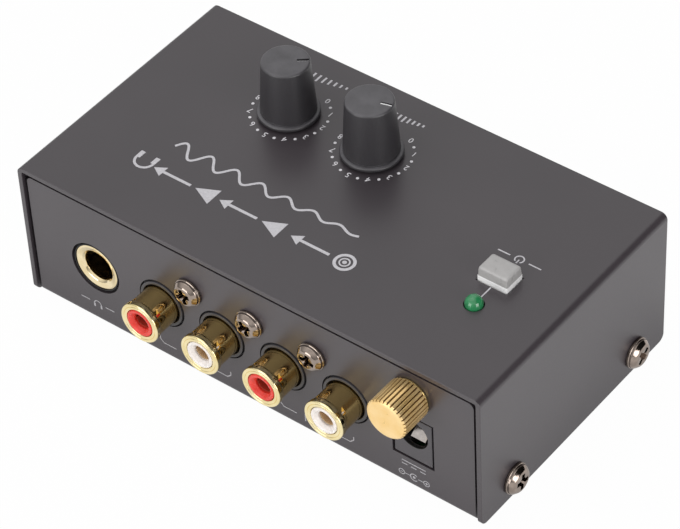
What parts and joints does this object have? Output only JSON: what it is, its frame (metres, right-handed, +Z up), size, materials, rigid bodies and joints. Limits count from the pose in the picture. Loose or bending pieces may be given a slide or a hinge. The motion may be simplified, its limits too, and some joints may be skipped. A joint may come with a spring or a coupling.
{
  "type": "phono preamplifier",
  "caption": "Small sheet-metal phono preamplifier with two rotary controls, a push power switch, RCA jacks, a phone jack, a ground terminal and a DC socket.",
  "frame": {"origin": "middle of the case's footprint, on the surface that the feet stand on", "axes": "+Z up, +Y towards the jack panel, -Y towards the side from which the top is read, X across the case"},
  "size_m": [0.1078, 0.064, 0.0458],
  "materials": {
    "painted_sheet": "satin grey powder coat",
    "black_rubber": "matt",
    "nickel": "bright nickel plate",
    "tinned": "tinned or plain metal",
    "black_plastic": "moulded black plastic",
    "knob_plastic": "fine matt black plastic",
    "grey_cap": "light grey moulding",
    "white_plastic": "natural plastic",
    "gold_plate": "gold plate on brass",
    "red_insulator": "red moulding",
    "white_insulator": "white moulding",
    "green_lens": "green diffusing lens",
    "board_laminate": "green solder mask",
    "film_red": "dipped box capacitor",
    "track_board": "phenolic"
  },
  "bodies": {
    "case": {"chassis": "painted_sheet", "cover": "painted_sheet", "feet": "black_rubber", "cover_screws": "nickel", "panel_screws": "nickel", "standoffs": "tinned", "board_screws": "nickel", "circuit_board": "board_laminate", "volume_pot_base": "track_board", "level_pot_base": "track_board", "volume_pot_bracket": "nickel", "level_pot_bracket": "nickel", "switch_housing": "black_plastic", "switch_spring": "tinned", "led_lens": "green_lens", "led_leads": "tinned", "led_spacer": "white_plastic", "rca_block": "black_plastic", "phone_jack_body": "black_plastic", "phone_ferrule": "gold_plate", "phone_ring_contact": "gold_plate", "phone_tip_contact": "gold_plate", "dc_socket_body": "black_plastic", "dc_pin": "nickel", "dc_side_contact": "nickel", "ground_stud": "gold_plate", "op_amps": "black_plastic", "electrolytic_capacitors": "tinned", "film_capacitors": "film_red", "chip_resistors": "black_plastic", "regulator": "black_plastic", "rca_shell_1": "gold_plate", "rca_contact_1": "gold_plate", "rca_insulator_1": "red_insulator", "rca_shell_2": "gold_plate", "rca_contact_2": "gold_plate", "rca_insulator_2": "white_insulator", "rca_shell_3": "gold_plate", "rca_contact_3": "gold_plate", "rca_insulator_3": "red_insulator", "rca_shell_4": "gold_plate", "rca_contact_4": "gold_plate", "rca_insulator_4": "white_insulator"},
    "volume_control": {"volume_knob": "knob_plastic", "volume_shaft": "tinned"},
    "level_control": {"level_knob": "knob_plastic", "level_shaft": "tinned"},
    "power_push": {"power_button": "grey_cap", "switch_plunger": "white_plastic"},
    "ground_washer": {"ground_washer": "gold_plate"},
    "ground_nut": {"ground_nut": "gold_plate"}
  },
  "joints": [
    {"name": "volume_turn", "type": "hinge", "parent": "case", "child": "volume_control", "pos_m": [0.0201, -0.0114, 0.033], "axis": [0, 0, -1], "range_deg": [-22, 278]},
    {"name": "level_turn", "type": "hinge", "parent": "case", "child": "level_control", "pos_m": [0.0009, -0.0114, 0.033], "axis": [0, 0, -1], "range_deg": [-45, 255]},
    {"name": "power_press", "type": "slide", "parent": "case", "child": "power_push", "axis": [0, 0, -1], "range_m": [0, 0.0025], "stiffness_N_per_m": 400, "springref_m": -0.002, "deforming": ["switch_spring"]},
    {"name": "ground_nut_travel", "type": "slide", "parent": "case", "child": "ground_washer", "axis": [0, 1, 0], "range_m": [0, 0.0035]},
    {"name": "ground_nut_turn", "type": "hinge", "parent": "ground_washer", "child": "ground_nut", "pos_m": [-0.037, 0.032, 0.0257], "axis": [0, 1, 0], "range_deg": [0, 1800]}
  ],
  "couplings": [
    {"joint": "ground_nut_turn", "follows": "ground_nut_travel", "rad_per_m": 8976}
  ]
}
